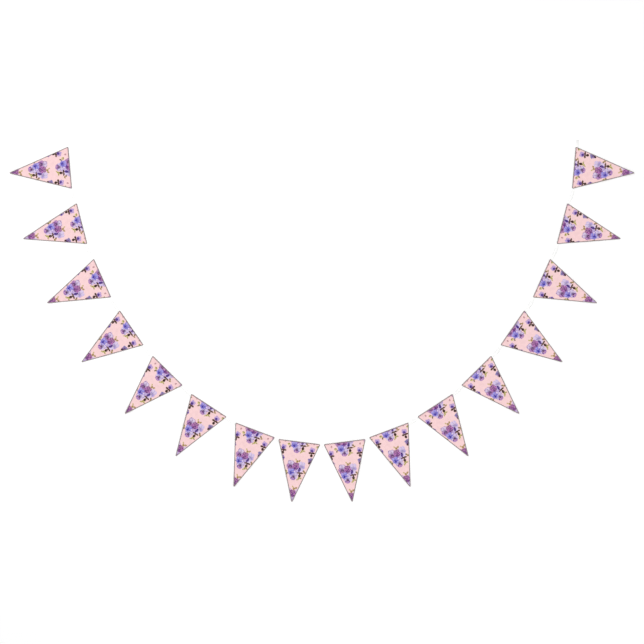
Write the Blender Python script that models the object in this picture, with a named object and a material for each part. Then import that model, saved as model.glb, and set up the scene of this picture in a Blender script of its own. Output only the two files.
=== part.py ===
"""Cloth bunting: sixteen pennants sewn along a narrow tape, laid out face up on a flat surface.

X runs across the swag, Y up it and Z up from the surface. The origin is on the surface, at the
middle of the whole thing. All sizes are in metres, and angles in degrees.
"""

import math
from collections import namedtuple

import bpy
from mathutils import Vector

# The pennant, as it is cut
FLAG_WIDTH = 0.165
FLAG_LENGTH = 0.241  # from the top edge to where the two long sides would meet
CLOTH_THICKNESS = 0.0012
TOP_CORNER_RADIUS = 0.004
TIP_RADIUS = 0.003

# The tape, sewn behind the pennants' top edges
TAPE_WIDTH = 0.010
TAPE_THICKNESS = 0.0012
TAPE_INSET = 0.0015  # from a pennant's top edge down to the tape's edge
TAPE_TAIL = 0.025  # the cut end past the last pennant
TAPE_BEND_START = 0.004  # how far inside a pennant's corner the tape begins to bend
TAPE_LIFT_SHARE = 0.03  # how high the tape bows between pennants, as a share of the gap
GAP_STEPS = 6

# How a pennant lies: up over the tape, then down to the surface
PLY_GAP = 0.0003
STEP_MARGIN = 0.001
STEP_RAMP = 0.010
TIP_CURL_START = 0.58  # shares of the pennant's length
SIDE_WAVE_START = 0.18
SIDE_WAVE_END = 0.80

# Where the middles of the top edges lie, on the right half of the swag, from its lowest point
# outward. The left half mirrors it.
FlagPlace = namedtuple("FlagPlace", "across rise turn")
HALF_SWAG = (
    FlagPlace(0.087, 0.000, 7.2),
    FlagPlace(0.257, 0.045, 20.7),
    FlagPlace(0.435, 0.140, 33.2),
    FlagPlace(0.594, 0.274, 44.7),
    FlagPlace(0.733, 0.439, 55.5),
    FlagPlace(0.845, 0.630, 65.8),
    FlagPlace(0.924, 0.840, 75.5),
    FlagPlace(0.970, 1.055, 85.0),
)

# How far the tip and the two long sides stand off the surface, from left to right along the swag
FlagLie = namedtuple("FlagLie", "tip left_side right_side")
LIES = (
    FlagLie(0.0040, 0.0000, 0.0020),
    FlagLie(0.0015, 0.0020, 0.0000),
    FlagLie(0.0030, 0.0000, 0.0015),
    FlagLie(0.0000, 0.0015, 0.0020),
    FlagLie(0.0035, 0.0000, 0.0000),
    FlagLie(0.0010, 0.0025, 0.0000),
    FlagLie(0.0025, 0.0000, 0.0020),
    FlagLie(0.0020, 0.0015, 0.0000),
    FlagLie(0.0000, 0.0000, 0.0020),
    FlagLie(0.0030, 0.0020, 0.0000),
    FlagLie(0.0015, 0.0000, 0.0015),
    FlagLie(0.0035, 0.0010, 0.0020),
    FlagLie(0.0010, 0.0020, 0.0000),
    FlagLie(0.0025, 0.0000, 0.0025),
    FlagLie(0.0000, 0.0015, 0.0000),
    FlagLie(0.0040, 0.0020, 0.0010),
)

PINK = (0.95, 0.64, 0.63)
WHITE = (0.91, 0.90, 0.88)
CLOTH_ROUGHNESS = 0.85

# Shares of a pennant's half width at which its mesh has a line of points
COLUMNS = (-1.0, -0.82, -0.45, 0.0, 0.45, 0.82, 1.0)
BODY_ROWS = 9  # between the foot of the step and the tip's round
TIP_ARC = (0.0, 30.0, 60.0, 80.0)

# The slope of a long side, and the middles of the corner rounds
SIDE_ANGLE = math.atan2(FLAG_WIDTH / 2, FLAG_LENGTH)
CORNER_ANGLE = math.pi / 2 - SIDE_ANGLE
CORNER_MIDDLE = FLAG_WIDTH / 2 - TOP_CORNER_RADIUS / math.tan(CORNER_ANGLE / 2)
CORNER_END = TOP_CORNER_RADIUS * (1 + math.sin(SIDE_ANGLE))
TIP_MIDDLE = FLAG_LENGTH - TIP_RADIUS / math.sin(SIDE_ANGLE)
TIP_START = TIP_MIDDLE + TIP_RADIUS * math.sin(SIDE_ANGLE)
TAPE_LINE = TAPE_INSET + TAPE_WIDTH / 2
STEP_HEIGHT = TAPE_THICKNESS + PLY_GAP
STEP_END = TAPE_INSET + TAPE_WIDTH + STEP_MARGIN


def clear_scene():
    for obj in list(bpy.data.objects):
        bpy.data.objects.remove(obj, do_unlink=True)


def cloth_material(name, colour):
    material = bpy.data.materials.new(name)
    material.use_nodes = True
    shader = material.node_tree.nodes["Principled BSDF"]
    shader.inputs["Base Color"].default_value = (*colour, 1.0)
    shader.inputs["Roughness"].default_value = CLOTH_ROUGHNESS
    shader.inputs["Metallic"].default_value = 0.0
    return material


def smooth(share):
    """0 before 0, 1 after 1, and an even S between them."""
    share = min(max(share, 0.0), 1.0)
    return share * share * (3 - 2 * share)


def half_width(down):
    """How far a pennant reaches to each side, this far below its top edge."""
    if down < CORNER_END:
        return CORNER_MIDDLE + math.sqrt(TOP_CORNER_RADIUS**2 - (down - TOP_CORNER_RADIUS) ** 2)
    if down > TIP_START:
        return math.sqrt(TIP_RADIUS**2 - (down - TIP_MIDDLE) ** 2)
    return (FLAG_LENGTH - down) * math.tan(SIDE_ANGLE)


def row_places():
    """How far below the top edge each line of points across a pennant lies."""
    corner = [0.0, TOP_CORNER_RADIUS * 0.3, TOP_CORNER_RADIUS * 0.75, CORNER_END]
    step = [STEP_END + STEP_RAMP * share for share in (0.0, 0.3, 0.6, 1.0)]
    foot = step[-1]
    body = [foot + (TIP_START - foot) * row / BODY_ROWS for row in range(1, BODY_ROWS)]
    start = math.degrees(SIDE_ANGLE)
    tip = [
        TIP_MIDDLE + TIP_RADIUS * math.sin(math.radians(start + (90 - start) * angle / 90))
        for angle in TIP_ARC
    ]
    return corner + step + body + tip


def underside(side, down, lie):
    """Height of a pennant's under face; side runs from -1 to 1 across it."""
    step = STEP_HEIGHT * (1 - smooth((down - STEP_END) / STEP_RAMP))
    along = down / FLAG_LENGTH
    tip = lie.tip * smooth((along - TIP_CURL_START) / (1 - TIP_CURL_START)) ** 2
    wave = (along - SIDE_WAVE_START) / (SIDE_WAVE_END - SIDE_WAVE_START)
    edge_lift = lie.left_side if side < 0 else lie.right_side
    inside_wave = min(max(wave, 0.0), 1.0)
    sides = edge_lift * abs(side) ** 3 * math.sin(math.pi * inside_wave) ** 2
    return step + tip + sides


def add_sheet(name, rows, thickness, material):
    """A closed sheet on a grid of points, which are its under face, with its top a ply above.

    Seen from above, each row's points run to the left of the way from one row to the next.
    """
    across = len(rows[0])
    points = [point for row in rows for point in row]
    faces = []
    for row in range(len(rows) - 1):
        for column in range(across - 1):
            corner = row * across + column
            faces.append((corner, corner + across, corner + across + 1, corner + 1))
    mesh = bpy.data.meshes.new(name)
    mesh.from_pydata(points, [], faces)
    mesh.materials.append(material)
    sheet = bpy.data.objects.new(name, mesh)
    bpy.context.scene.collection.objects.link(sheet)
    ply = sheet.modifiers.new("Ply", "SOLIDIFY")
    ply.thickness = thickness
    ply.offset = 1.0
    return sheet


def swag():
    """Every pennant's place from left to right, moved so that the whole lies round the origin."""
    right = [FlagPlace(p.across, p.rise, p.turn) for p in HALF_SWAG]
    left = [FlagPlace(-p.across, p.rise, -p.turn) for p in reversed(HALF_SWAG)]
    lowest, highest = HALF_SWAG[0], HALF_SWAG[-1]
    tip_reach = TIP_MIDDLE * math.cos(math.radians(lowest.turn)) + TIP_RADIUS
    edge_reach = (FLAG_WIDTH / 2 + TAPE_TAIL) * math.sin(math.radians(highest.turn))
    tape_drop = TAPE_INSET * math.cos(math.radians(highest.turn))
    low = lowest.rise - tip_reach
    high = highest.rise + edge_reach - tape_drop
    middle = (low + high) / 2
    return [FlagPlace(p.across, p.rise - middle, p.turn) for p in left + right]


def directions(turn):
    """Unit vectors along a pennant's top edge and from that edge to its tip."""
    angle = math.radians(turn)
    along = Vector((math.cos(angle), math.sin(angle), 0.0))
    down = Vector((math.sin(angle), -math.cos(angle), 0.0))
    return along, down


def add_flag(name, place, lie, material):
    rows = []
    for down in row_places():
        reach = half_width(down)
        rows.append([(side * reach, -down, underside(side, down, lie)) for side in COLUMNS])
    flag = add_sheet(name, rows, CLOTH_THICKNESS, material)
    flag.location = (place.across, place.rise, 0.0)
    flag.rotation_euler = (0.0, 0.0, math.radians(place.turn))
    return flag


def bend_between(start, start_way, end, end_way):
    """(point, direction) along the tape's bow from one pennant to the next, ends left out."""
    chord = (end - start).length
    bend = []
    for step in range(1, GAP_STEPS):
        t = step / GAP_STEPS
        place = (
            start * (2 * t**3 - 3 * t**2 + 1)
            + start_way * chord * (t**3 - 2 * t**2 + t)
            + end * (3 * t**2 - 2 * t**3)
            + end_way * chord * (t**3 - t**2)
        )
        way = (
            (start - end) * (6 * t**2 - 6 * t)
            + start_way * chord * (3 * t**2 - 4 * t + 1)
            + end_way * chord * (3 * t**2 - 2 * t)
        )
        place.z = TAPE_LIFT_SHARE * chord * math.sin(math.pi * t) ** 4
        bend.append((place, way.normalized()))
    return bend


def tape_stations(places):
    """(point, direction) along the tape's middle line: straight under each pennant."""
    run = FLAG_WIDTH / 2 - TAPE_BEND_START
    stations = []
    for place in places:
        along, down = directions(place.turn)
        middle = Vector((place.across, place.rise, 0.0)) + down * TAPE_LINE
        first, last = middle - along * run, middle + along * run
        if stations:
            stations += bend_between(*stations[-1], first, along)
        stations += [(first, along), (last, along)]
    past = TAPE_BEND_START + TAPE_TAIL
    (first, first_way), (last, last_way) = stations[0], stations[-1]
    stations[0] = (first - first_way * past, first_way)
    stations[-1] = (last + last_way * past, last_way)
    return stations


def add_tape(places, material):
    rows = []
    for place, way in tape_stations(places):
        left = Vector((-way.y, way.x, 0.0)) * (TAPE_WIDTH / 2)
        rows.append([tuple(place - left), tuple(place + left)])
    return add_sheet("tape", rows, TAPE_THICKNESS, material)


def main():
    clear_scene()
    cloth = cloth_material("printed_cloth", PINK)
    cotton = cloth_material("white_tape", WHITE)
    places = swag()
    for number, (place, lie) in enumerate(zip(places, LIES), start=1):
        add_flag(f"flag_{number:02d}", place, lie, cloth)
    add_tape(places, cotton)


main()
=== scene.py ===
"""Looks of a cloth bunting: printed cotton pennants with an overlocked edge, sewn along a white tape.

X runs across the swag, Y up it and Z up from the surface that it lies on. Lengths are in metres,
apart from the print's, which are in millimetres.
"""

import math
from collections import namedtuple

import bpy
import numpy as np
from bpy.props import FloatProperty, FloatVectorProperty, IntProperty, PointerProperty
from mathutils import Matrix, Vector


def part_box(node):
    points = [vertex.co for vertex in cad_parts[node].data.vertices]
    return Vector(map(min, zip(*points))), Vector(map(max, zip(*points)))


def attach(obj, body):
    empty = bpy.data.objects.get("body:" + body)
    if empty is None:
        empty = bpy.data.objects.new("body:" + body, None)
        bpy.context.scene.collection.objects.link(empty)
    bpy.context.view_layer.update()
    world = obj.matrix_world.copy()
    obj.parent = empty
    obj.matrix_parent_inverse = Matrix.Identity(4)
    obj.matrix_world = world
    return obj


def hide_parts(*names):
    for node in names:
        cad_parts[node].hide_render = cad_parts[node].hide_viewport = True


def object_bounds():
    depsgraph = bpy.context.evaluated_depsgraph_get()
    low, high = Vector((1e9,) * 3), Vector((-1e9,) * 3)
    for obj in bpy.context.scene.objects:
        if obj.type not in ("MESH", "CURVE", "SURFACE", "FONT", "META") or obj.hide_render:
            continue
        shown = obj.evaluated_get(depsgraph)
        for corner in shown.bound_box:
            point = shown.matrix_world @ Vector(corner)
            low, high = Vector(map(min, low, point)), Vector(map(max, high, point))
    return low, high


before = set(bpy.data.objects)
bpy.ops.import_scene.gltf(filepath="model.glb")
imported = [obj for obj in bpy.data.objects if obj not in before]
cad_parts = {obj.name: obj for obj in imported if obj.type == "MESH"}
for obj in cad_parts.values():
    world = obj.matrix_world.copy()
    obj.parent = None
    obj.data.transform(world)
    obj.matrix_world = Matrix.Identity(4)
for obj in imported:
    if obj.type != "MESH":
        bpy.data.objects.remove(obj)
CAD_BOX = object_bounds()

bl_info = {
    "name": "Cloth Bunting",
    "version": (1, 0, 0),
    "blender": (4, 5, 0),
    "location": "View3D > Sidebar > Bunting",
    "description": "Makes a printed cotton bunting and the studio that it lies in",
    "category": "Object",
}

MILLIMETRES = 1000.0  # in a metre
BODY = "root"
PRINT_UV = "print"
TAPE_UV = "tape"

# Where the middles of the top edges lie, on the right half of the swag, from its lowest point
# outward, with the turn in degrees. The left half mirrors it. No pennant may lie further than the
# tolerance from its solid.
Place = namedtuple("Place", "across rise turn")
HALF_SWAG = (
    Place(0.087, 0.000, 7.2),
    Place(0.257, 0.045, 20.7),
    Place(0.435, 0.140, 33.2),
    Place(0.594, 0.274, 44.7),
    Place(0.733, 0.439, 55.5),
    Place(0.845, 0.630, 65.8),
    Place(0.924, 0.840, 75.5),
    Place(0.970, 1.055, 85.0),
)
PLACE_TOLERANCE = 0.0015

# How far the tip and the two long sides stand off the surface, from left to right along the swag
Lie = namedtuple("Lie", "tip left_side right_side")
LIES = (
    Lie(0.0040, 0.0, 0.0020),
    Lie(0.0015, 0.0020, 0.0),
    Lie(0.0030, 0.0, 0.0015),
    Lie(0.0, 0.0015, 0.0020),
    Lie(0.0035, 0.0, 0.0),
    Lie(0.0010, 0.0025, 0.0),
    Lie(0.0025, 0.0, 0.0020),
    Lie(0.0020, 0.0015, 0.0),
    Lie(0.0, 0.0, 0.0020),
    Lie(0.0030, 0.0020, 0.0),
    Lie(0.0015, 0.0, 0.0015),
    Lie(0.0035, 0.0010, 0.0020),
    Lie(0.0010, 0.0020, 0.0),
    Lie(0.0025, 0.0, 0.0025),
    Lie(0.0, 0.0015, 0.0),
    Lie(0.0040, 0.0020, 0.0010),
)

# Shares of a pennant's length between which its tip curls and its sides wave
TIP_CURL_START = 0.58
SIDE_WAVE_START = 0.18
SIDE_WAVE_END = 0.80

# How the cloth steps down off the tape, and the fine relief that the solids leave out. The phase
# step is the angle by which one pennant's puckers and ripple differ from the next one's.
REST_GAP = 0.0001
STEP_MARGIN = 0.001
STEP_RAMP = 0.010
SEAM_DIP = 0.00020
SEAM_DIP_WIDTH = 0.0013
PUCKER_HEIGHT = 0.00012
PUCKER_LENGTH = 0.0085
PUCKER_REACH = 0.007
RIPPLE_HEIGHT = 0.00035
RIPPLE_LENGTH = 0.041
PHASE_STEP = 2.4

# How finely the outline's rounds, the cloth's corners and tip, and the tape are drawn, and where the
# cloth has more rows by its seam, in widths of the dip
ARC_POINTS = 13
CORNER_ROWS = 8
TIP_ROWS = 6
TIP_END_DEGREES = 84
BOW_POINTS = 14
RUN_POINTS = 24
SEAM_ROWS = (-2.0, -1.0, -0.5, 0.0, 0.5, 1.0, 2.0)

# The tape's route, and the bevel of its edges
TAPE_INSET = 0.0015
TAPE_TAIL = 0.025
TAPE_BEND_START = 0.004
TAPE_LIFT_SHARE = 0.03
TAPE_BEVEL = 0.00025

# The overlocking: half the height of its flat core, and how far the core stands out past the cut
# cloth. A stitch has its degrees round the core, and how many pitches forward it slants. The tilt
# keeps the direction across a stitch away from its own way.
CORE_HEIGHT = 0.0005
CORE_OVERHANG = 0.0002
CORE_SIDES = 6
THREAD_SIDES = 5
WRAP_DEGREES = (180.0, 168.0, 112.0, 50.0, -12.0)
WRAP_SLANT = (-0.85, 0.0, 0.18, 0.36, 0.50)
WRAP_TILT = 0.3

# Points of a seam stitch: how many pitches along, and how many thread radii up
SEAM_STITCH = ((-0.42, -0.9), (-0.34, 0.5), (0.34, 0.5), (0.42, -0.9))

# The print, in millimetres. Its x runs to a pennant's right and its y towards the top edge.
REPEAT = (110.8, 105.2)
BOUQUET_PLACE = (0.0, -108.0)
POSY_PLACE = (55.4, -40.0)
PRINT_DROP = 0.0116  # metres by which the print lies lower on every other pennant

# The inks. Where the cloth took little or much of one, the colour lies at these shares of the way
# from the ground's to the ink's own. It is never darker than the darkest, which is linear.
WEAK_INK = 0.74
STRONG_INK = 1.42
DARKEST_INK = (0.040, 0.016, 0.008)
PALETTE = {
    "ground": "#F2CECF",
    "pale_lilac": "#DCCAE4",
    "lilac": "#C4ACD4",
    "mauve": "#C094C0",
    "orchid": "#C084B8",
    "plum": "#8C5C8E",
    "faded_plum": "#A8789C",
    "violet": "#8868AC",
    "deep_violet": "#583E88",
    "haze": "#9C8CB2",
    "light_blue": "#AEA0DC",
    "periwinkle": "#988ACC",
    "blue": "#544AA0",
    "blotch": "#5C2C6C",
    "eye": "#D0AC70",
    "leaf": "#D0C090",
    "leaf_shade": "#9C8C58",
    "tan": "#C09C7C",
    "olive": "#9C8A5C",
    "brown": "#6C503E",
    "bark": "#4A2E1C",
    "bud": "#341A0C",
    "rose": "#C59CA0",
}

# Motifs, in the order in which they are printed over each other. A bloom's width and height are its
# radii, and a leaf's or bud's are its whole size. A bud is a single petal. Turns are in degrees.
Bloom = namedtuple("Bloom", "x y width height turn back side lip rim throat")
Leaf = namedtuple("Leaf", "x y length width turn colour shade")
Bud = namedtuple("Bud", "x y length width turn colour rim")

BOUQUET = (
    Leaf(1, 29, 14, 8, 4, "tan", "leaf_shade"),
    Leaf(9, 33, 13, 8, -50, "tan", "olive"),
    Leaf(-4, 37, 11, 6, 28, "leaf", "tan"),
    Leaf(-38, -12, 14, 11, 75, "leaf", "leaf_shade"),
    Leaf(-33, -20, 13, 6.5, 150, "olive", "brown"),
    Leaf(30, -4, 14, 7, -130, "olive", "brown"),
    Leaf(35, -10, 13, 6, -70, "tan", "olive"),
    Leaf(15, -34, 14, 8.5, -185, "leaf", "leaf_shade"),
    Leaf(22, -32, 13, 7, -112, "leaf", "olive"),
    Leaf(10, -39, 10, 5.5, 160, "leaf", "leaf_shade"),
    Bud(-3, -10, 16, 15, 0, "pale_lilac", "lilac"),
    Bud(5, -16, 22, 17, -30, "pale_lilac", "violet"),
    Bud(21, -2, 18, 15, -20, "pale_lilac", "violet"),
    Bud(6, -5, 24, 19, 10, "lilac", "violet"),
    Bud(-12, -2, 18, 18, 70, "violet", "violet"),
    Bloom(-6.5, -30, 14.5, 14, -8, "pale_lilac", "pale_lilac", "mauve", "violet", "blotch"),
    Bloom(20.5, 10.5, 12.5, 16, -4, "pale_lilac", "lilac", "pale_lilac", "lilac", "haze"),
    Bud(14, 0, 19, 11, 168, "deep_violet", "violet"),
    Bloom(-23, 9.5, 14, 18, -6, "pale_lilac", "mauve", "mauve", "plum", "blotch"),
    Bloom(-1.5, 9.5, 12, 12.5, 2, "faded_plum", "orchid", "plum", "plum", "plum"),
    Bloom(-17, -14.5, 12, 12, 10, "light_blue", "periwinkle", "light_blue", "periwinkle", "blue"),
    Bud(-17.5, -17.5, 9, 8, 180, "blue", "periwinkle"),
    Leaf(11.5, -12.8, 15, 7, 97, "brown", "bark"),
    Leaf(23.0, -12.6, 15, 7, -97, "brown", "bark"),
    Leaf(17.3, -17, 10, 4.5, 0, "bark", "bud"),
    Bud(17, -23, 13, 12, 180, "bud", "bud"),
)
POSY = (
    Bud(2.8, 36, 9, 8, 0, "rose", "rose"),
    Bloom(-2.2, 11, 10, 8.5, -15, "lilac", "lilac", "mauve", "mauve", "violet"),
    Bud(-3.8, 8.8, 10, 14, 12, "deep_violet", "violet"),
    Leaf(-9.3, 0.8, 15, 8, 96, "brown", "bark"),
    Leaf(3.2, 1.0, 15, 8, -96, "brown", "bark"),
    Leaf(-3, -3, 10, 4.5, 0, "bark", "bud"),
    Bud(-3, -8.5, 13, 11.5, 180, "bud", "bud"),
    Bloom(-3, -31, 10, 9.5, 20, "haze", "violet", "deep_violet", "haze", "blotch"),
    Bud(-8, -39, 9, 8, 150, "bark", "bud"),
)

# The camera looks straight down on the middle of the photo's frame
IMAGE_WIDTH = 2.4826
IMAGE_MIDDLE_Y = -0.0042
CAMERA_LENS = 85.0
CAMERA_SENSOR = 36.0

# The studio: half of the floor's side, the surround's strength, and each light's name, place, size
# and power
FLOOR_REACH = 8.0
SURROUND = 0.765
LIGHTS = (
    ("key_light", (-1.6, 1.6, 3.6), 3.0, 56.0),
    ("fill_light", (1.8, -1.8, 3.6), 3.4, 33.0),
)


def linear(code):
    """An sRGB hex colour as linear red, green and blue."""
    channels = [int(code[place : place + 2], 16) / 255 for place in (1, 3, 5)]
    return tuple(c / 12.92 if c <= 0.04045 else ((c + 0.055) / 1.055) ** 2.4 for c in channels)


def length_setting(name, description, default):
    """A size in metres that a user can change."""
    return FloatProperty(name=name, description=description, default=default, unit="LENGTH")


def colour_setting(name, description, code):
    """A colour that a user can change, with an sRGB hex code as its default."""
    return FloatVectorProperty(
        name=name, description=description, default=linear(code), subtype="COLOR"
    )


class BuntingSizes(bpy.types.PropertyGroup):
    """Sizes of the cloth, the tape and the thread."""

    pennant_width: length_setting("Pennant width", "Width of a pennant's top edge", 0.165)
    pennant_length: length_setting(
        "Pennant length", "From the top edge to where the long sides would meet", 0.241
    )
    corner_radius: length_setting("Corner radius", "Round of the top corners", 0.004)
    tip_radius: length_setting("Tip radius", "Round of the tip", 0.003)
    cloth_thickness: length_setting("Cloth thickness", "Thickness of the printed cotton", 0.0007)
    tape_width: length_setting("Tape width", "Width of the tape", 0.010)
    tape_thickness: length_setting("Tape thickness", "Thickness of the tape", 0.0008)
    edging_width: length_setting(
        "Edging width", "How far the overlocking reaches over the cloth", 0.0020
    )
    edging_pitch: length_setting("Edging pitch", "From one overlock stitch to the next", 0.00125)
    edging_inset: length_setting(
        "Edging inset", "How far inside the finished outline the cloth is cut", 0.0012
    )
    edging_thread: length_setting("Edging thread", "Radius of the overlocking thread", 0.00036)
    seam_pitch: length_setting("Seam pitch", "From one seam stitch to the next", 0.0033)
    seam_thread: length_setting("Seam thread", "Radius of the sewing thread", 0.00020)
    rows: IntProperty(
        name="Cloth rows", description="Rows of the cloth's mesh, top to tip", default=56, min=16
    )
    columns: IntProperty(
        name="Cloth columns", description="Columns of the cloth's mesh", default=48, min=8
    )


class BuntingColours(bpy.types.PropertyGroup):
    """Colours that are the same all over a piece."""

    thread: colour_setting("Edging thread", "Overlocking thread", "#A09392")
    seam: colour_setting("Seam thread", "Sewing thread, near the ground colour", "#F3C9C8")
    tape: colour_setting("Tape", "Cotton tape", "#FFFFFE")
    floor: colour_setting("Floor", "Studio paper", "#FBFBFB")


# Shape of a pennant

Cut = namedtuple("Cut", "lean corner_x corner_y corner_radius tip_y tip_radius corner_end tip_start")


def cut_of(sizes, inset=0.0):
    """A pennant's outline: two straight sides, with a round at each top corner and at the tip.

    An inset moves it all inwards, which leaves the rounds' middles where they are.
    """
    lean = math.atan2(sizes.pennant_width / 2, sizes.pennant_length)
    tangent = sizes.corner_radius / math.tan((math.pi / 2 - lean) / 2)
    tip_y = sizes.pennant_length - sizes.tip_radius / math.sin(lean)
    corner_radius, tip_radius = sizes.corner_radius - inset, sizes.tip_radius - inset
    return Cut(
        lean=lean,
        corner_x=sizes.pennant_width / 2 - tangent,
        corner_y=sizes.corner_radius,
        corner_radius=corner_radius,
        tip_y=tip_y,
        tip_radius=tip_radius,
        corner_end=sizes.corner_radius + corner_radius * math.sin(lean),
        tip_start=tip_y + tip_radius * math.sin(lean),
    )


def half_width(cut, down):
    """Half of a pennant's width at a distance below its top edge.

    It is a circle's in the corner and tip rounds, and falls evenly to the point between them.
    """
    corner = np.sqrt(np.clip(cut.corner_radius**2 - (down - cut.corner_y) ** 2, 0, None))
    tip = np.sqrt(np.clip(cut.tip_radius**2 - (down - cut.tip_y) ** 2, 0, None))
    widest = cut.corner_x + cut.corner_radius * math.cos(cut.lean)
    side = widest - (down - cut.corner_end) * math.tan(cut.lean)
    in_round = [down < cut.corner_end, down > cut.tip_start]
    return np.select(in_round, [cut.corner_x + corner, tip], side)


def smooth(share):
    """0 before 0, 1 after 1, and an even S between them."""
    share = np.clip(share, 0, 1)
    return share * share * (3 - 2 * share)


def tape_line(sizes):
    """How far below a pennant's top edge the tape's middle runs."""
    return TAPE_INSET + sizes.tape_width / 2


def cloth_height(sizes, cut, lie, phase, across, down):
    """Height of the cloth's under face at a point of a pennant.

    It is a step over the tape, plus a curl that grows with the square of an S towards the tip, plus
    a wave along each long side that grows with the cube of the share across. The seam adds a narrow
    dip and short puckers beside it, and the overlocking a slow ripple at the very edge.
    """
    side = np.clip(across / np.maximum(half_width(cut, down), 1e-6), -1, 1)
    along = down / sizes.pennant_length
    band_end = TAPE_INSET + sizes.tape_width + STEP_MARGIN
    step = (sizes.tape_thickness + REST_GAP) * (1 - smooth((down - band_end) / STEP_RAMP))
    tip = lie.tip * smooth((along - TIP_CURL_START) / (1 - TIP_CURL_START)) ** 2
    wave = np.clip((along - SIDE_WAVE_START) / (SIDE_WAVE_END - SIDE_WAVE_START), 0, 1)
    lift = np.where(side < 0, lie.left_side, lie.right_side)
    sides = lift * np.abs(side) ** 3 * np.sin(math.pi * wave) ** 2
    off_seam = down - tape_line(sizes)
    dip = -SEAM_DIP * np.exp(-((off_seam / SEAM_DIP_WIDTH) ** 2))
    beside_seam = np.exp(-((off_seam / PUCKER_REACH) ** 2))
    puckers = np.sin(2 * math.pi * across / PUCKER_LENGTH + phase) * beside_seam
    ripple = (1 + np.sin(2 * math.pi * down / RIPPLE_LENGTH + phase + side)) * np.abs(side) ** 6
    small = dip + PUCKER_HEIGHT * (1 + puckers) + RIPPLE_HEIGHT / 2 * ripple
    return REST_GAP + step + tip + sides + small


def swag_places(cut):
    """Every pennant's place from left to right, set on the frame by the lowest tips."""
    lowest = HALF_SWAG[0]
    tip_reach = cut.tip_y * math.cos(math.radians(lowest.turn)) + cut.tip_radius
    base = CAD_BOX[0].y + tip_reach
    right = [Place(p.across, base + p.rise, p.turn) for p in HALF_SWAG]
    left = [Place(-p.across, base + p.rise, -p.turn) for p in reversed(HALF_SWAG)]
    return left + right


def set_out(points, place):
    """Points of a pennant's own frame, turned and moved to its place in the swag."""
    angle = math.radians(place.turn)
    x, y = points[..., 0], points[..., 1]
    return np.stack(
        [
            place.across + x * math.cos(angle) - y * math.sin(angle),
            place.rise + x * math.sin(angle) + y * math.cos(angle),
            points[..., 2],
        ],
        axis=-1,
    )


def outline(cut, spacing):
    """Evenly spaced points and directions along a pennant's edge, anticlockwise from above.

    The edge is three arcs, round the left corner, the tip and the right corner, joined by straight
    lines, and it is divided into equal lengths near the spacing.
    """
    lean = cut.lean
    arcs = (
        (-cut.corner_x, -cut.corner_y, cut.corner_radius, math.pi / 2, math.pi + lean),
        (0.0, -cut.tip_y, cut.tip_radius, math.pi + lean, 2 * math.pi - lean),
        (cut.corner_x, -cut.corner_y, cut.corner_radius, 2 * math.pi - lean, 2.5 * math.pi),
    )
    rounds = []
    for x, y, radius, start, end in arcs:
        angle = np.linspace(start, end, ARC_POINTS)
        rounds.append(np.stack([x + radius * np.cos(angle), y + radius * np.sin(angle)], axis=-1))
    corners = np.concatenate([*rounds, rounds[0][:1]])
    run = np.concatenate([[0], np.cumsum(np.linalg.norm(np.diff(corners, axis=0), axis=1))])
    count = round(run[-1] / spacing)
    stops = np.arange(count) * run[-1] / count
    points = np.stack([np.interp(stops, run, corners[:, axis]) for axis in (0, 1)], axis=-1)
    ways = np.roll(points, -1, axis=0) - np.roll(points, 1, axis=0)
    return points, ways / np.linalg.norm(ways, axis=1, keepdims=True)


# Meshes from arrays


def new_object(name, data):
    """An object with this data, in the scene."""
    made = bpy.data.objects.new(name, data)
    bpy.context.scene.collection.objects.link(made)
    return made


def add_piece(name, points, faces, materials, uv=None, uv_name=None, face_materials=None):
    """A smooth mesh object from arrays of points and faces, riding on the part's body."""
    mesh = bpy.data.meshes.new(name)
    mesh.from_pydata(points.reshape(-1, 3), [], faces)
    for material in materials:
        mesh.materials.append(material)
    if face_materials is not None:
        mesh.polygons.foreach_set("material_index", face_materials)
    mesh.shade_smooth()
    if uv is not None:
        corner = np.empty(len(mesh.loops), np.int32)
        mesh.loops.foreach_get("vertex_index", corner)
        layer = mesh.uv_layers.new(name=uv_name)
        layer.data.foreach_set("uv", uv.reshape(-1, 2)[corner].ravel())
    mesh.validate()
    piece = new_object(name, mesh)
    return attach(piece, BODY)


def sheet_faces(rows, columns):
    """Faces of a closed sheet whose top grid's points come first and its under grid's after them.

    The top is the grid's squares, the under side the same squares turned over, and the rim joins the
    two grids' borders, taken anticlockwise from above.
    """
    index = np.arange(rows * columns).reshape(rows, columns)
    squares = [index[:-1, :-1], index[1:, :-1], index[1:, 1:], index[:-1, 1:]]
    top = np.stack(squares, axis=-1).reshape(-1, 4)
    under = top[:, ::-1] + rows * columns
    ring = np.concatenate([index[:, 0], index[-1, 1:], index[-2::-1, -1], index[0, -2:0:-1]])
    after = np.roll(ring, -1)
    rim = np.stack([ring, ring + rows * columns, after + rows * columns, after], axis=-1)
    return top, under, rim


def carried(centres, side, up, profile, closed=False):
    """Points and faces of a profile carried along one path or many at once.

    Each point is the path's own, plus the profile's x along the side direction and its y along the up
    direction. The profile runs anticlockwise as seen from ahead, where side times up points ahead. An
    open path ends in two flat caps.
    """
    strands, steps = centres.shape[0], centres.shape[1]
    around = len(profile)
    sideways = profile[:, 0, None] * side[:, :, None]
    points = centres[:, :, None] + sideways + profile[:, 1, None] * up[:, :, None]
    index = np.arange(strands * steps * around).reshape(strands, steps, around)
    here, ahead = (index, np.roll(index, -1, axis=1)) if closed else (index[:, :-1], index[:, 1:])
    walls = np.stack([here, np.roll(here, -1, axis=2), np.roll(ahead, -1, axis=2), ahead], axis=-1)
    faces = walls.reshape(-1, 4).tolist()
    if not closed:
        faces += index[:, 0, ::-1].tolist() + index[:, -1].tolist()
    return points, faces


def ring_profile(sides, width, height):
    """Points round an ellipse, anticlockwise."""
    angle = np.arange(sides) * 2 * math.pi / sides
    return np.stack([width * np.cos(angle), height * np.sin(angle)], axis=-1)


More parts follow.
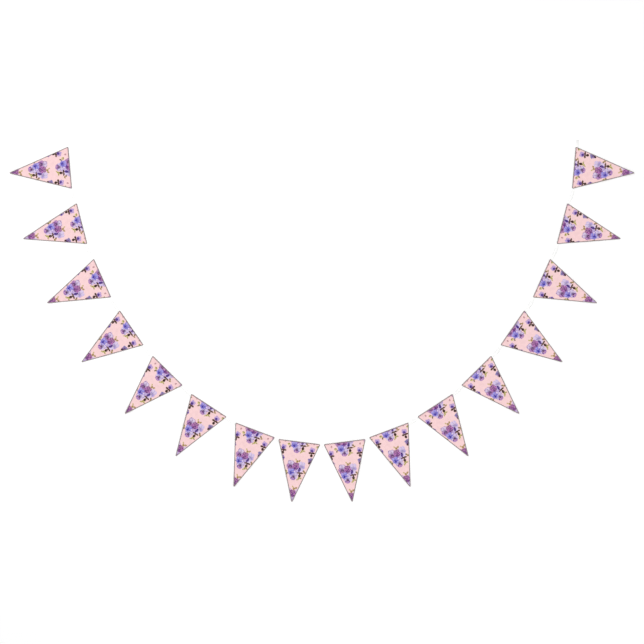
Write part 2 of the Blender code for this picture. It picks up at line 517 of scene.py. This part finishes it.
def threads(paths, across, radius):
    """Round threads along many short paths. A thread's side is square to its way and to across."""
    way = np.gradient(paths, axis=1)
    way /= np.linalg.norm(way, axis=2, keepdims=True)
    side = np.cross(np.broadcast_to(across[:, None], way.shape), way)
    side /= np.linalg.norm(side, axis=2, keepdims=True)
    up = np.cross(way, side)
    return carried(paths, side, up, ring_profile(THREAD_SIDES, radius, radius))


# Materials


def add_node(tree, kind, inputs=(), **settings):
    """Adds a node of a kind, which is its type without the word ShaderNode, with its settings.

    Each input is given a value, or a link from a socket or from a node's first output. Inputs go by
    name, or by number where a name isn't enough: 1 to 4 of a Map Range are what it maps from and to,
    and 6 and 7 of a Mix are its two colours.
    """
    node = tree.nodes.new("ShaderNode" + kind)
    for name, value in settings.items():
        setattr(node, name, value)
    for key, value in dict(inputs).items():
        if isinstance(value, bpy.types.Node):
            value = value.outputs[0]
        if isinstance(value, bpy.types.NodeSocket):
            tree.links.new(value, node.inputs[key])
        else:
            node.inputs[key].default_value = value
    return node


def new_group(name, inputs, output):
    """An empty node group with these inputs and one output, and its two end nodes."""
    group = bpy.data.node_groups.new(name, "ShaderNodeTree")
    for socket, kind in inputs.items():
        group.interface.new_socket(socket, in_out="INPUT", socket_type="NodeSocket" + kind)
    group.interface.new_socket(output, in_out="OUTPUT", socket_type="NodeSocketColor")
    given = group.nodes.new("NodeGroupInput").outputs
    return group, given, group.nodes.new("NodeGroupOutput").inputs


def motif_frame(x, y, turn, width, height):
    """A motif's middle and its two axes, each divided by the motif's reach along it."""
    cosine, sine = math.cos(math.radians(turn)), math.sin(math.radians(turn))
    return {
        "Centre": (x, y, 0),
        "Across": (cosine / width, sine / width, 0),
        "Along": (-sine / height, cosine / height, 0),
    }


# The inputs of every motif's group: the place to colour, the motif's frame, and a small noise that
# makes its edges uneven
FRAME_INPUTS = {
    "Place": "Vector", "Centre": "Vector", "Across": "Vector", "Along": "Vector", "Wobble": "Float"
}


def place_in(tree, given):
    """How far across and along its motif a place lies, as shares of the motif's reach."""
    offset = add_node(tree, "VectorMath", {0: given["Place"], 1: given["Centre"]}, operation="SUBTRACT")
    shares = []
    for axis in ("Across", "Along"):
        share = add_node(tree, "VectorMath", {0: offset, 1: given[axis]}, operation="DOT_PRODUCT")
        shares.append(share.outputs["Value"])
    return shares


SOFT_ENDS = {"interpolation_type": "SMOOTHSTEP"}  # lets a Map Range ease in and out

# How much slimmer than a circle a petal is at its middle, and how much more so at its foot. How far
# below the middle its veins meet, how close they lie and how far they reach. How much more than a
# petal's outline the wobble moves its rim, and a leaf's outline.
PETAL_SLIM = 1.14
PETAL_TAPER = 0.24
FAN_DEPTH = 1.3
VEIN_BEAT = 21.0
VEIN_REACH = 0.44
RIM_WOBBLE = 3.5
LEAF_WOBBLE = 1.5


def petal_group():
    """One printed petal over what is under it.

    The petal is a unit circle in its own frame, with its foot at y -1, and the circle is narrowed
    towards the foot. Its colour runs from throat to body to rim. The throat runs out along fine veins
    that fan from the foot, and the wobble moves the outline a little and the rim a lot.
    """
    tree, given, result = new_group(
        "petal",
        {**FRAME_INPUTS, "Throat": "Color", "Body": "Color", "Rim": "Color", "Under": "Color"},
        "Colour",
    )
    x, y = place_in(tree, given)
    taper = add_node(tree, "Math", {0: y, 1: -PETAL_TAPER, 2: PETAL_SLIM}, operation="MULTIPLY_ADD")
    wide = add_node(tree, "Math", {0: x, 1: taper}, operation="MULTIPLY")
    shape = add_node(tree, "CombineXYZ", {0: wide, 1: y})
    size = add_node(tree, "VectorMath", {0: shape}, operation="LENGTH")
    out, wobble = size.outputs["Value"], given["Wobble"]
    reach = add_node(tree, "Math", {0: out, 1: wobble}, operation="ADD")
    rise = add_node(tree, "Math", {0: y, 1: FAN_DEPTH}, operation="ADD")
    fan = add_node(tree, "Math", {0: x, 1: rise}, operation="ARCTAN2")
    beat = add_node(tree, "Math", {0: fan, 1: VEIN_BEAT}, operation="MULTIPLY")
    vein = add_node(tree, "Math", {0: beat}, operation="SINE")
    ragged = add_node(tree, "Math", {0: vein, 1: VEIN_REACH, 2: y}, operation="MULTIPLY_ADD")
    throat = add_node(tree, "MapRange", {"Value": ragged, 1: -0.9, 2: 0.35, 3: 1.0, 4: 0.0}, **SOFT_ENDS)
    streak = add_node(tree, "Math", {0: wobble, 1: RIM_WOBBLE, 2: out}, operation="MULTIPLY_ADD")
    rim = add_node(tree, "MapRange", {"Value": streak, 1: 0.60, 2: 1.05, 3: 0.0, 4: 0.90}, **SOFT_ENDS)
    cover = add_node(tree, "MapRange", {"Value": reach, 1: 0.95, 2: 1.0, 3: 1.0, 4: 0.0}, **SOFT_ENDS)
    edged = add_node(tree, "Mix", {0: rim, 6: given["Body"], 7: given["Rim"]}, data_type="RGBA")
    deep = add_node(tree, "Mix", {0: throat, 6: edged.outputs[2], 7: given["Throat"]}, data_type="RGBA")
    over = add_node(tree, "Mix", {0: cover, 6: given["Under"], 7: deep.outputs[2]}, data_type="RGBA")
    tree.links.new(over.outputs[2], result["Colour"])
    return tree


# A bloom's three kinds of petal, on a bloom of radius 1, mirrored across its upright middle line
Petal = namedtuple("Petal", "x y turn width length")
BACK_PETAL = Petal(0.34, 0.55, -18, 0.64, 0.75)
SIDE_PETAL = Petal(0.52, -0.02, -80, 0.50, 0.56)
LIP_PETAL = Petal(0.0, -0.42, 180, 0.76, 0.52)
EYE_RADIUS = 0.05


def bloom_group(petal):
    """One printed pansy over what is under it: two back petals, two side petals, a lip and an eye."""
    tree, given, result = new_group(
        "bloom",
        {
            **FRAME_INPUTS, "Back": "Color", "Side": "Color", "Lip": "Color", "Rim": "Color",
            "Throat": "Color", "Eye": "Color", "Under": "Color",
        },
        "Colour",
    )
    x, y = place_in(tree, given)
    folded = add_node(tree, "Math", {0: x}, operation="ABSOLUTE")
    half = add_node(tree, "CombineXYZ", {0: folded, 1: y})
    under = given["Under"]
    for kind, body in ((BACK_PETAL, "Back"), (SIDE_PETAL, "Side"), (LIP_PETAL, "Lip")):
        petal_node = add_node(
            tree, "Group",
            {
                **motif_frame(*kind), "Place": half, "Wobble": given["Wobble"],
                "Throat": given["Throat"], "Body": given[body], "Rim": given["Rim"], "Under": under,
            },
            node_tree=petal,
        )
        under = petal_node.outputs[0]
    middle = add_node(tree, "VectorMath", {0: half}, operation="LENGTH")
    eye = add_node(
        tree, "MapRange",
        {"Value": middle.outputs["Value"], 1: EYE_RADIUS * 0.7, 2: EYE_RADIUS, 3: 1.0, 4: 0.0},
    )
    over = add_node(tree, "Mix", {0: eye, 6: under, 7: given["Eye"]}, data_type="RGBA")
    tree.links.new(over.outputs[2], result["Colour"])
    return tree


def leaf_group():
    """One printed leaf over what is under it.

    In its own frame the leaf runs from y -1 to y 1, and it covers where the share across plus the
    square of the share along is under 1. One half is in shade.
    """
    tree, given, result = new_group(
        "leaf", {**FRAME_INPUTS, "Colour": "Color", "Shade": "Color", "Under": "Color"}, "Colour"
    )
    x, y = place_in(tree, given)
    off = add_node(tree, "Math", {0: x}, operation="ABSOLUTE")
    lens = add_node(tree, "Math", {0: y, 1: y, 2: off}, operation="MULTIPLY_ADD")
    wobble = given["Wobble"]
    reach = add_node(tree, "Math", {0: wobble, 1: LEAF_WOBBLE, 2: lens}, operation="MULTIPLY_ADD")
    cover = add_node(tree, "MapRange", {"Value": reach, 1: 0.86, 2: 1.0, 3: 1.0, 4: 0.0}, **SOFT_ENDS)
    shade = add_node(tree, "MapRange", {"Value": x, 1: -0.15, 2: 0.35}, **SOFT_ENDS)
    toned = add_node(tree, "Mix", {0: shade, 6: given["Colour"], 7: given["Shade"]}, data_type="RGBA")
    over = add_node(tree, "Mix", {0: cover, 6: given["Under"], 7: toned.outputs[2]}, data_type="RGBA")
    tree.links.new(over.outputs[2], result["Colour"])
    return tree


def colour_of(name):
    """A palette colour as a shader's socket takes it."""
    return (*linear(PALETTE[name]), 1.0)


def add_motifs(tree, motifs, place, wobble, under, groups):
    """Draws a table of motifs over a colour, in the table's order."""
    for motif in motifs:
        if isinstance(motif, Bloom):
            width, height = motif.width, motif.height
            colours = {"Back": motif.back, "Side": motif.side, "Lip": motif.lip, "Rim": motif.rim}
            colours.update({"Throat": motif.throat, "Eye": "eye"})
        else:
            width, height = motif.width / 2, motif.length / 2
            if isinstance(motif, Leaf):
                colours = {"Colour": motif.colour, "Shade": motif.shade}
            else:
                colours = {"Throat": motif.colour, "Body": motif.colour, "Rim": motif.rim}
        node = add_node(
            tree, "Group",
            {
                **motif_frame(motif.x, motif.y, motif.turn, width, height),
                **{socket: colour_of(colour) for socket, colour in colours.items()},
                "Place": place, "Wobble": wobble, "Under": under,
            },
            node_tree=groups[type(motif)],
        )
        under = node.outputs[0]
    return under


def print_group():
    """The flower print. The place, in mm, is wrapped into one repeat round each table's middle.

    The motifs are placed with vector maths alone, because a change of socket type on the way would
    keep a value waiting for every motif, and the renderer has room for only a few.
    """
    tree, given, result = new_group("flower_print", {"Place": "Vector", "Wobble": "Float"}, "Colour")
    petal = petal_group()
    groups = {Bloom: bloom_group(petal), Leaf: leaf_group(), Bud: petal}
    under = colour_of("ground")
    high = (REPEAT[0] / 2, REPEAT[1] / 2, 1.0)
    low = tuple(-reach for reach in high)
    for motifs, (x, y) in ((POSY, POSY_PLACE), (BOUQUET, BOUQUET_PLACE)):
        moved = add_node(tree, "VectorMath", {0: given["Place"], 1: (-x, -y, 0)}, operation="ADD")
        inside = add_node(tree, "VectorMath", {0: moved, 1: high, 2: low}, operation="WRAP")
        under = add_motifs(tree, motifs, inside.outputs[0], given["Wobble"], under, groups)
    tree.links.new(under, result["Colour"])
    return tree


# What a Map Range maps from: most of a noise's values, and all of a sine's
NOISE_RANGE = {1: 0.3, 2: 0.7}
SINE_RANGE = {1: -1.0, 2: 1.0}


def new_material(name, roughness, gloss):
    """A material with these constants on its shader, its node tree and the shader."""
    material = bpy.data.materials.new(name)
    material.use_nodes = True
    shader = material.node_tree.nodes["Principled BSDF"]
    shader.inputs["Roughness"].default_value = roughness
    shader.inputs["Specular IOR Level"].default_value = gloss
    return material, material.node_tree, shader


def colour_shader(tree, shader, colour, tone, relief=None, strength=0.0, depth=0.0):
    """Gives a shader a colour scaled by a tone and, where there is a relief, the bump that it makes."""
    base = add_node(tree, "VectorMath", {0: colour, "Scale": tone}, operation="SCALE")
    tree.links.new(base.outputs[0], shader.inputs["Base Color"])
    if relief is not None:
        bump = add_node(tree, "Bump", {"Height": relief, "Strength": strength, "Distance": depth})
        tree.links.new(bump.outputs[0], shader.inputs["Normal"])


WEAVE_PITCH = 1.0  # mm, twice the real spacing of the threads, so that the weave shows close up
WOBBLE = 0.5  # how much of the cloth's grain moves the edges of the print
BACK_WEAR = 0.6  # how far the print is faded on the cloth's back
COTTON_NOISES = ((220.0, 2.0), (240.0, 2.0), (60.0, 5.0))  # scale and detail of grain, ink and dye


def cotton(name, flowers, wear):
    """Plain-woven printed cotton: matt and soft, with a fine even weave whose shade and light are
    painted into its colour, and a slightly uneven dye.

    The ink took more in some places than in others, which scales how far its colour lies from the
    ground's. wear is how far the print is faded towards the ground.
    """
    material, tree, shader = new_material(name, roughness=0.88, gloss=0.2)
    shader.inputs["Sheen Weight"].default_value = 0.03
    uv = add_node(tree, "UVMap", uv_map=PRINT_UV)
    grain, ink, dye = (
        add_node(
            tree, "TexNoise", {"Vector": uv, "Scale": scale, "Detail": detail}, noise_dimensions="2D"
        )
        for scale, detail in COTTON_NOISES
    )
    wobble = add_node(tree, "Math", {0: grain, 1: WOBBLE, 2: -WOBBLE / 2}, operation="MULTIPLY_ADD")
    place = add_node(tree, "VectorMath", {0: uv, "Scale": MILLIMETRES}, operation="SCALE")
    printed = add_node(tree, "Group", {"Place": place, "Wobble": wobble}, node_tree=flowers)
    weak, strong = WEAK_INK * (1 - wear), STRONG_INK * (1 - wear)
    strength = add_node(tree, "MapRange", {"Value": ink, **NOISE_RANGE, 3: weak, 4: strong})
    ground = linear(PALETTE["ground"])
    off_ground = add_node(tree, "VectorMath", {0: printed, 1: ground}, operation="SUBTRACT")
    inked = add_node(tree, "VectorMath", {0: off_ground, "Scale": strength}, operation="SCALE")
    dyed = add_node(tree, "VectorMath", {0: inked, 1: ground}, operation="ADD")
    floored = add_node(tree, "VectorMath", {0: dyed, 1: DARKEST_INK}, operation="MAXIMUM")
    tone = add_node(tree, "MapRange", {"Value": dye, **NOISE_RANGE, 3: 0.965, 4: 1.03})
    turns = 2 * math.pi / WEAVE_PITCH
    turned = add_node(tree, "VectorMath", {0: place, "Scale": turns}, operation="SCALE")
    thread = add_node(tree, "VectorMath", {0: turned}, operation="SINE")
    part = add_node(tree, "SeparateXYZ", {0: thread}).outputs
    weave = add_node(tree, "Math", {0: part[0], 1: part[1]}, operation="MULTIPLY")
    # Painted shade and light: the weave's sine darkens the colour between the threads and lightens it on
    # their crowns, in step with its bump
    weave_painted_shade = add_node(tree, "MapRange", {"Value": weave, **SINE_RANGE, 3: 0.95, 4: 1.03})
    dye_tone_and_weave_shade = add_node(tree, "Math", {0: tone, 1: weave_painted_shade}, operation="MULTIPLY")
    colour_shader(tree, shader, floored, dye_tone_and_weave_shade, weave, strength=0.5, depth=0.00012)
    return material


def spun_thread(name, colour):
    """Spun polyester thread: matt with a soft gleam, and fibres that make its tone a little uneven."""
    material, tree, shader = new_material(name, roughness=0.62, gloss=0.35)
    place = add_node(tree, "TexCoord").outputs["Object"]
    fibres = add_node(tree, "TexNoise", {"Vector": place, "Scale": 900.0, "Detail": 3.0})
    tone = add_node(tree, "MapRange", {"Value": fibres, **NOISE_RANGE, 3: 0.86, 4: 1.10})
    colour_shader(tree, shader, tuple(colour), tone, fibres, strength=0.4, depth=0.0001)
    return material


TWILL_PITCH = 1.1  # mm between the twill's ribs, half as much again as on real tape
TWILL_BAND = 5.0  # mm from one turn of the herringbone to the next


def twill_tape(name, colour):
    """Bleached cotton twill tape: matt white, with slanting ribs that meet in a herringbone, and painted
    shade in the grooves between them.
    """
    material, tree, shader = new_material(name, roughness=0.85, gloss=0.25)
    uv = add_node(tree, "UVMap", uv_map=TAPE_UV)
    place = add_node(tree, "VectorMath", {0: uv, "Scale": MILLIMETRES}, operation="SCALE")
    part = add_node(tree, "SeparateXYZ", {0: place}).outputs
    off = add_node(tree, "Math", {0: part[1], 1: TWILL_BAND}, operation="PINGPONG")
    slant = add_node(tree, "Math", {0: part[0], 1: off}, operation="ADD")
    turns = 2 * math.pi / TWILL_PITCH
    beat = add_node(tree, "Math", {0: slant, 1: turns}, operation="MULTIPLY")
    rib = add_node(tree, "Math", {0: beat}, operation="SINE")
    # Painted shade: the colour is a little darker in the grooves between the ribs, in step with their
    # bump
    tone = add_node(tree, "MapRange", {"Value": rib, **SINE_RANGE, 3: 0.985, 4: 1.0})
    colour_shader(tree, shader, tuple(colour), tone, rib, strength=0.6, depth=0.00015)
    return material


def studio_paper(name, colour):
    """Matt white background paper, with no gloss and the faintest unevenness."""
    material, tree, shader = new_material(name, roughness=1.0, gloss=0.0)
    place = add_node(tree, "TexCoord").outputs["Object"]
    pulp = add_node(tree, "TexNoise", {"Vector": place, "Scale": 3.0, "Detail": 2.0})
    tone = add_node(tree, "MapRange", {"Value": pulp, **NOISE_RANGE, 3: 0.995, 4: 1.0})
    colour_shader(tree, shader, tuple(colour), tone)
    return material


# Operators, one for each kind of piece


def each_pennant(sizes):
    """(number, place, lie, phase) for every pennant, with its place checked against the frame."""
    whole = cut_of(sizes)
    edge, _ = outline(whole, sizes.edging_pitch)
    flat = np.concatenate([edge, np.zeros((len(edge), 1))], axis=1)
    found = []
    for number, (place, lie) in enumerate(zip(swag_places(whole), LIES), start=1):
        low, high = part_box(f"flag_{number:02d}")
        here = set_out(flat, place)[:, :2]
        off = np.abs([here.min(axis=0) - low[:2], here.max(axis=0) - high[:2]]).max()
        if off > PLACE_TOLERANCE:
            raise RuntimeError(f"pennant {number} lies {off * MILLIMETRES:.1f} mm from its solid")
        found.append((number, place, lie, PHASE_STEP * number))
    return found


class BUNTING_OT_pennants(bpy.types.Operator):
    """Makes the printed cotton pennants"""

    bl_idname = "bunting.pennants"
    bl_label = "Pennants"

    def execute(self, context):
        """The cloth is a closed sheet on a grid of shares across and distances down."""
        sizes = context.scene.bunting_sizes
        cut = cut_of(sizes, sizes.edging_inset)
        flowers = print_group()
        front = cotton("printed_cotton", flowers, 0.0)
        back = cotton("printed_cotton_back", flowers, BACK_WEAR)
        turn = np.linspace(0, math.pi / 2 + cut.lean, CORNER_ROWS)[:-1]
        corner = cut.corner_y - cut.corner_radius * np.cos(turn)
        seam = tape_line(sizes) + SEAM_DIP_WIDTH * np.array(SEAM_ROWS)
        body = np.union1d(np.linspace(cut.corner_end, cut.tip_start, sizes.rows), seam)
        turn = np.linspace(cut.lean, math.radians(TIP_END_DEGREES), TIP_ROWS)[1:]
        down = np.concatenate([corner, body, cut.tip_y + cut.tip_radius * np.sin(turn)])
        share = np.sin(np.linspace(-math.pi / 2, math.pi / 2, sizes.columns + 1))
        down, share = np.meshgrid(down, share, indexing="ij")
        across = share * half_width(cut, down)
        top, under, rim = sheet_faces(*down.shape)
        faces = np.concatenate([top, under, rim])
        sides = np.repeat(np.array([0, 1, 0], np.int32), [len(top), len(under), len(rim)])
        for number, place, lie, phase in each_pennant(sizes):
            height = cloth_height(sizes, cut, lie, phase, across, down)
            under_face = np.stack([across, -down, height], axis=-1)
            top_face = under_face + np.array([0, 0, sizes.cloth_thickness])
            points = set_out(np.stack([top_face, under_face]), place)
            drop = PRINT_DROP if number % 2 else 0.0
            uv = np.stack([across, drop - down], axis=-1)
            name = f"pennant_{number:02d}"
            piece = add_piece(name, points, faces, [front, back], np.stack([uv, uv]), PRINT_UV, sides)
            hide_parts(f"flag_{number:02d}")
        return {"FINISHED"}


class BUNTING_OT_edging(bpy.types.Operator):
    """Makes the overlocking round each pennant"""

    bl_idname = "bunting.edging"
    bl_label = "Overlocked edges"

    def execute(self, context):
        """A flat core carried round the edge, and one thread for each stitch that wraps over it.

        A stitch runs along the core's inner side for most of a pitch, and then round an ellipse over
        the core to its outer side, slanting forward by half a pitch.
        """
        sizes = context.scene.bunting_sizes
        material = spun_thread("overlock_thread", context.scene.bunting_colours.thread)
        cut = cut_of(sizes, sizes.edging_inset)
        edge, way = outline(cut, sizes.edging_pitch)
        left = np.stack([-way[:, 1], way[:, 0]], axis=-1)
        up = np.zeros((1, len(edge), 3)) + np.array([0.0, 0.0, 1.0])
        core_width = sizes.edging_width / 2
        profile = ring_profile(CORE_SIDES, core_width, CORE_HEIGHT)
        inside = edge + left * (core_width - CORE_OVERHANG)
        wrap = np.radians(WRAP_DEGREES)
        inward = core_width - CORE_OVERHANG - (core_width + sizes.edging_thread) * np.cos(wrap)
        forward = np.array(WRAP_SLANT) * sizes.edging_pitch
        flat = edge[:, None] + left[:, None] * inward[:, None] + way[:, None] * forward[:, None]
        rise = (CORE_HEIGHT + sizes.edging_thread) * np.sin(wrap)
        level = np.zeros((len(edge), 1))
        side = np.concatenate([left, level], axis=1)
        along = np.concatenate([way, level], axis=1)
        for number, place, lie, phase in each_pennant(sizes):
            height = cloth_height(sizes, cut, lie, phase, edge[:, 0], -edge[:, 1])
            height = height[:, None] + CORE_HEIGHT
            core = np.concatenate([inside, height], axis=1)[None]
            core_points, core_faces = carried(core, side[None], up, profile, closed=True)
            paths = np.concatenate([flat, (height + rise)[..., None]], axis=-1)
            stitch_points, stitch_faces = threads(paths, along + WRAP_TILT * side, sizes.edging_thread)
            start = core_points.size // 3
            points = np.concatenate([core_points.reshape(-1, 3), stitch_points.reshape(-1, 3)])
            faces = core_faces + [[index + start for index in face] for face in stitch_faces]
            piece = add_piece(f"edging_{number:02d}", set_out(points, place), faces, [material])
        return {"FINISHED"}


class BUNTING_OT_tape(bpy.types.Operator):
    """Makes the tape that joins the pennants"""

    bl_idname = "bunting.tape"
    bl_label = "Tape"

    def execute(self, context):
        """A flat profile carried along the tape's route."""
        sizes = context.scene.bunting_sizes
        route = tape_route(sizes)
        way = np.gradient(route, axis=0)
        way /= np.linalg.norm(way, axis=1, keepdims=True)
        left = np.stack([-way[:, 1], way[:, 0], np.zeros(len(way))], axis=-1)
        left /= np.linalg.norm(left, axis=1, keepdims=True)
        up = np.cross(way, left)
        half, thick = sizes.tape_width / 2, sizes.tape_thickness / 2
        flank, face = thick - TAPE_BEVEL, half - TAPE_BEVEL
        profile = np.array(
            [
                (half, -flank), (half, flank), (face, thick), (0.0, thick), (-face, thick),
                (-half, flank), (-half, -flank), (-face, -thick), (0.0, -thick), (face, -thick),
            ]
        )
        points, faces = carried(route[None], left[None], up[None], profile)
        run = np.concatenate([[0], np.cumsum(np.linalg.norm(np.diff(route, axis=0), axis=1))])
        uv = np.stack(np.broadcast_arrays(run[:, None], profile[None, :, 0]), axis=-1)
        material = twill_tape("cotton_twill_tape", context.scene.bunting_colours.tape)
        piece = add_piece("heading_tape", points, faces, [material], uv, TAPE_UV)
        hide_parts("tape")
        return {"FINISHED"}


def tape_route(sizes):
    """Points along the tape's middle, from the left end to the right one.

    It runs straight under each pennant, and in a cubic bow from one to the next that leaves and
    arrives along their edges and rises with the fourth power of a sine.
    """
    reach = sizes.pennant_width / 2 - TAPE_BEND_START
    middle_height = REST_GAP / 2 + sizes.tape_thickness / 2
    t = np.linspace(0, 1, BOW_POINTS)[1:-1, None]
    stations, last = [], None
    for place in swag_places(cut_of(sizes)):
        angle = math.radians(place.turn)
        along = np.array([math.cos(angle), math.sin(angle), 0.0])
        down = np.array([math.sin(angle), -math.cos(angle), 0.0])
        middle = np.array([place.across, place.rise, middle_height]) + down * tape_line(sizes)
        first = middle - along * reach
        if last is None:
            first = first - along * (TAPE_BEND_START + TAPE_TAIL)
        else:
            start, start_way = last
            chord = np.linalg.norm(first - start)
            bow = (
                start * (2 * t**3 - 3 * t**2 + 1)
                + start_way * chord * (t**3 - 2 * t**2 + t)
                + first * (3 * t**2 - 2 * t**3)
                + along * chord * (t**3 - t**2)
            )
            bow[:, 2:] += TAPE_LIFT_SHARE * chord * np.sin(math.pi * t) ** 4
            stations.append(bow)
        end = middle + along * reach
        stations.append(np.linspace(first, end, RUN_POINTS))
        last = (end, along)
    stations.append((last[0] + last[1] * (TAPE_BEND_START + TAPE_TAIL))[None])
    return np.concatenate(stations)


class BUNTING_OT_seams(bpy.types.Operator):
    """Makes the lines of stitches that sew the pennants to the tape"""

    bl_idname = "bunting.seams"
    bl_label = "Seams"

    def execute(self, context):
        """Each stitch is a thread that rises out of the cloth, runs along it and dips into it again."""
        sizes = context.scene.bunting_sizes
        material = spun_thread("sewing_thread", context.scene.bunting_colours.seam)
        cut = cut_of(sizes, sizes.edging_inset)
        reach = half_width(cut, np.array(tape_line(sizes))) - sizes.edging_width
        count = int(2 * reach / sizes.seam_pitch)
        starts = (np.arange(count) - (count - 1) / 2) * sizes.seam_pitch
        shape = np.array(SEAM_STITCH)
        across = starts[:, None] + shape[:, 0] * sizes.seam_pitch
        down = np.full_like(across, tape_line(sizes))
        side = np.zeros((count, 3)) + np.array([0.0, 1.0, 0.0])
        for number, place, lie, phase in each_pennant(sizes):
            height = cloth_height(sizes, cut, lie, phase, across, down) + sizes.cloth_thickness
            paths = np.stack([across, -down, height + shape[:, 1] * sizes.seam_thread], axis=-1)
            points, faces = threads(paths, side, sizes.seam_thread)
            piece = add_piece(f"seam_{number:02d}", set_out(points, place), faces, [material])
        return {"FINISHED"}


class BUNTING_OT_declare(bpy.types.Operator):
    """Does nothing: no piece is declared here"""

    bl_idname = "bunting.declare"
    bl_label = "Declare the cloth"

    def execute(self, context):
        """Returns at once without changing anything."""
        return {"FINISHED"}


class BUNTING_OT_stage(bpy.types.Operator):
    """Makes the pale floor, the soft light and the camera"""

    bl_idname = "bunting.stage"
    bl_label = "Stage"

    def execute(self, context):
        """The camera stands straight above, as far off as makes its view as wide as the photo's."""
        scene = context.scene
        corners = np.array([(-1, -1, 0), (1, -1, 0), (1, 1, 0), (-1, 1, 0)]) * FLOOR_REACH
        mesh = bpy.data.meshes.new("studio_floor")
        mesh.from_pydata(corners, [], [(0, 1, 2, 3)])
        mesh.materials.append(studio_paper("background_paper", scene.bunting_colours.floor))
        floor = new_object("studio_floor", mesh)

        world = bpy.data.worlds.new("studio_air")
        world.use_nodes = True
        surround = world.node_tree.nodes["Background"].inputs
        surround["Color"].default_value = (1.0, 1.0, 1.0, 1.0)
        surround["Strength"].default_value = SURROUND
        scene.world = world
        scene.view_settings.view_transform = "Standard"

        for name, place, size, power in LIGHTS:
            light = bpy.data.lights.new(name, "AREA")
            light.shape = "SQUARE"
            light.size = size
            light.energy = power
            lamp = new_object(name, light)
            lamp.location = place
            lamp.rotation_euler = (-lamp.location).to_track_quat("-Z", "Y").to_euler()

        lens = bpy.data.cameras.new("photo_camera")
        lens.lens = CAMERA_LENS
        lens.sensor_width = CAMERA_SENSOR
        camera = new_object("photo_camera", lens)
        camera.location = (0.0, IMAGE_MIDDLE_Y, IMAGE_WIDTH * CAMERA_LENS / CAMERA_SENSOR)
        scene.camera = camera
        return {"FINISHED"}


class BUNTING_PT_panel(bpy.types.Panel):
    """Lists the steps that make the bunting"""

    bl_idname = "BUNTING_PT_panel"
    bl_label = "Bunting"
    bl_space_type = "VIEW_3D"
    bl_region_type = "UI"
    bl_category = "Bunting"

    def draw(self, context):
        for step in STEPS:
            self.layout.operator(step.bl_idname)
        for settings in (context.scene.bunting_sizes, context.scene.bunting_colours):
            for name in settings.bl_rna.properties.keys():
                if name not in ("rna_type", "name"):
                    self.layout.prop(settings, name)


STEPS = (
    BUNTING_OT_stage,
    BUNTING_OT_pennants,
    BUNTING_OT_edging,
    BUNTING_OT_tape,
    BUNTING_OT_seams,
    BUNTING_OT_declare,
)
CLASSES = (BuntingSizes, BuntingColours, *STEPS, BUNTING_PT_panel)


def register():
    for made in CLASSES:
        bpy.utils.register_class(made)
    bpy.types.Scene.bunting_sizes = PointerProperty(type=BuntingSizes)
    bpy.types.Scene.bunting_colours = PointerProperty(type=BuntingColours)


def unregister():
    del bpy.types.Scene.bunting_colours
    del bpy.types.Scene.bunting_sizes
    for made in reversed(CLASSES):
        bpy.utils.unregister_class(made)


def main():
    """Makes everything in order."""
    register()
    for step in STEPS:
        group, name = step.bl_idname.split(".")
        getattr(getattr(bpy.ops, group), name)()


if __name__ == "__main__":
    main()
